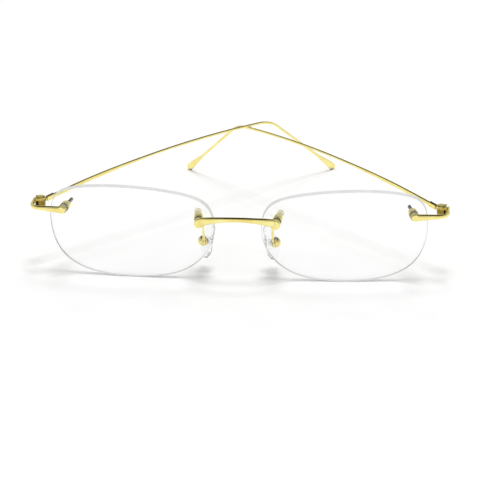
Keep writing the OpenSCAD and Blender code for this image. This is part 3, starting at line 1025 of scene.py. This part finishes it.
def nose_pad_mesh():
    """A crowned pad that thins to its rim, with a pocket behind it for the box."""
    outline = pad_outline()
    rim_at = PAD_T * 0.3
    rim_share = 0.97
    back_power, front_power = 3, 2.4
    back_gap, front_flatness = 0.03, 0.98
    steps, rim_steps = 14, 6

    def ring(share, depth):
        return [Vector((PAD_FACE_X + depth, p.y * share, PAD_UP + p.x * share)) for p in outline]

    rings = []
    for i in range(1, steps):
        share = i / steps
        rings.append(ring(share, back_gap + rim_at * (1 - sqrt(1 - share**back_power))))
    for i in range(rim_steps + 1):
        a = pi * i / rim_steps
        rings.append(ring(mix(rim_share, 1, sin(a)), rim_at + PAD_RIM * (1 - cos(a)) / 2))
    for i in range(steps - 1, 0, -1):
        share = i / steps
        rise = (PAD_T - rim_at - PAD_RIM) * sqrt(1 - share**front_power)
        rings.append(ring(share, rim_at + PAD_RIM + rise * front_flatness))
    bm = bmesh.new()
    skin(bm, rings)
    inside = 0.3
    pocket = turned([
        (inside, -POCKET_HALF), (POCKET_R, -POCKET_HALF),
        (POCKET_R, POCKET_HALF), (inside, POCKET_HALF),
    ])
    mesh = carved(finished(bm), [pocket])
    mesh.transform(PAD_FRAME)
    return mesh


# ---- Pieces ----

add_piece("bridge", bridge_mesh(), 0, "front", "gold_metal")
lens_look = lens_mesh()
for side in SIDES:
    nose_post = post_mesh(NOSE_HOLE, NOSE_POST_LEN, bright_to=NOSE_POST_LEN + 1)
    temple_post = post_mesh(TEMPLE_HOLE, POST_LEN, bright_to=TEMPLE_NUT_Y)
    faces = add_piece("lens", without(lens_look, EDGE), side, "front", "lens")
    faces.visible_shadow = False
    add_piece("lens_edge", without(lens_look, FACE), side, "front", "lens", stands_in=False)
    add_piece("lens_sleeves", sleeve_mesh(), side, "front", "clear_plastic")
    add_piece("lens_washers", washer_mesh(), side, "front", "clear_plastic")
    add_piece("bridge_post", nose_post, side, "front", "gold_metal", 80)
    add_piece("endpiece_post", temple_post, side, "front", "dark_metal", 80)
    add_piece("nuts", nut_mesh(), side, "front", "gold_metal")
    add_piece("lock_ring", lock_ring_mesh(), side, "front", "dark_metal")
    add_piece("nut_cap", cap_mesh(), side, "front", "clear_plastic")
    add_piece("endpiece", endpiece_mesh(), side, "front", "gold_metal")
    add_piece("temple", temple_mesh(side), side, "temple", "gold_metal", 60)
    add_piece("pad_arm", arm_mesh(), side, "front", "gold_metal")
    add_piece("pad_box", pad_box_mesh(), side, "front", "gold_metal")
    add_piece("pad_screw", pad_screw_mesh(), side, "front", "gold_metal")
    add_piece("nose_pad", nose_pad_mesh(), side, "pad", "silicone", 50)
    add_piece("hinge_screw", hinge_screw_mesh(), side, "front", "gold_metal")

# ---- Floor, light and camera, in metres and degrees ----

FLOOR_SIZE = 12
CEILING_R = 4
CEILING_FROM = 35
LAMPS_AIM = (0, -0.05, 0)
WORLD_STRENGTH = 0.6
CAMERA_AT = (0.0687, -0.8956, 0.3539)
CAMERA_AZIMUTH = -4.6
CAMERA_DROP = 21.84
CAMERA_ROLL = -0.38
CAMERA_LENS = 210.7


def floor_material():
    """White paper."""
    n = Nodes("white_floor")
    paper = n.noise(60, detail=4)
    n.colour(paper, (0.93, 0.93, 0.93), (0.96, 0.96, 0.96))
    n.roughness(paper, 0.85, 0.95)
    n.set(Specular_IOR_Level=0.1)
    return n.material


def ceiling_material():
    """Near-black cloth."""
    n = Nodes("dark_room")
    cloth = n.noise(3)
    n.colour(cloth, (0.03, 0.027, 0.01), (0.06, 0.055, 0.02))
    n.roughness(cloth, 0.9, 1.0)
    n.set(Specular_IOR_Level=0.0)
    return n.material


def stage_object(name, bm, material):
    """A mesh that belongs to the stage and not to the object."""
    mesh = bpy.data.meshes.new(name)
    bm.to_mesh(mesh)
    bm.free()
    mesh.materials.append(material)
    thing = bpy.data.objects.new(name, mesh)
    bpy.context.scene.collection.objects.link(thing)
    return thing


def floor():
    """A wide white floor under the object."""
    bm = bmesh.new()
    bmesh.ops.create_grid(bm, x_segments=1, y_segments=1, size=FLOOR_SIZE / 2)
    stage_object("floor", bm, floor_material())


def dark_room():
    """A dark ceiling over a pale horizon, seen only in reflections."""
    bm = bmesh.new()
    bmesh.ops.create_uvsphere(bm, u_segments=48, v_segments=30, radius=CEILING_R)
    low = [v for v in bm.verts if v.co.z < CEILING_R * sin(radians(CEILING_FROM))]
    bmesh.ops.delete(bm, geom=low, context="VERTS")
    dome = stage_object("dark_room", bm, ceiling_material())
    dome.visible_camera = False
    dome.visible_shadow = False
    dome.visible_diffuse = False
    dome.visible_transmission = False


def softbox(name, at, size, power):
    """A square lamp that isn't seen in reflections."""
    data = bpy.data.lights.new(name, "AREA")
    data.shape = "SQUARE"
    data.size = size
    data.energy = power
    light = bpy.data.objects.new(name, data)
    light.location = at
    aim = Vector(LAMPS_AIM) - Vector(at)
    light.rotation_euler = aim.to_track_quat("-Z", "Y").to_euler()
    light.visible_glossy = False
    bpy.context.scene.collection.objects.link(light)


def white_world():
    """Even white light from all round."""
    world = bpy.data.worlds.new("studio")
    bpy.context.scene.world = world
    world.use_nodes = True
    sky = world.node_tree.nodes["Background"].inputs
    sky["Color"].default_value = (1, 1, 1, 1)
    sky["Strength"].default_value = WORLD_STRENGTH


def camera():
    """A long lens, looking down at the front."""
    azimuth = radians(CAMERA_AZIMUTH)
    drop = radians(CAMERA_DROP)
    look = Vector((sin(azimuth) * cos(drop), cos(azimuth) * cos(drop), -sin(drop)))
    aimed = look.to_track_quat("-Z", "Y").to_matrix().to_4x4()
    data = bpy.data.cameras.new("camera")
    data.sensor_width = 36
    data.lens = CAMERA_LENS
    eye = bpy.data.objects.new("camera", data)
    eye.matrix_world = shift(*CAMERA_AT) @ aimed @ turn("Z", CAMERA_ROLL)
    bpy.context.scene.collection.objects.link(eye)
    bpy.context.scene.camera = eye


floor()
dark_room()
softbox("overhead", (0.21, -0.29, 3), size=0.75, power=33)
softbox("behind", (0.10, 0.98, 3), size=0.6, power=14)
white_world()
camera()
bpy.context.scene.view_settings.view_transform = "Standard"
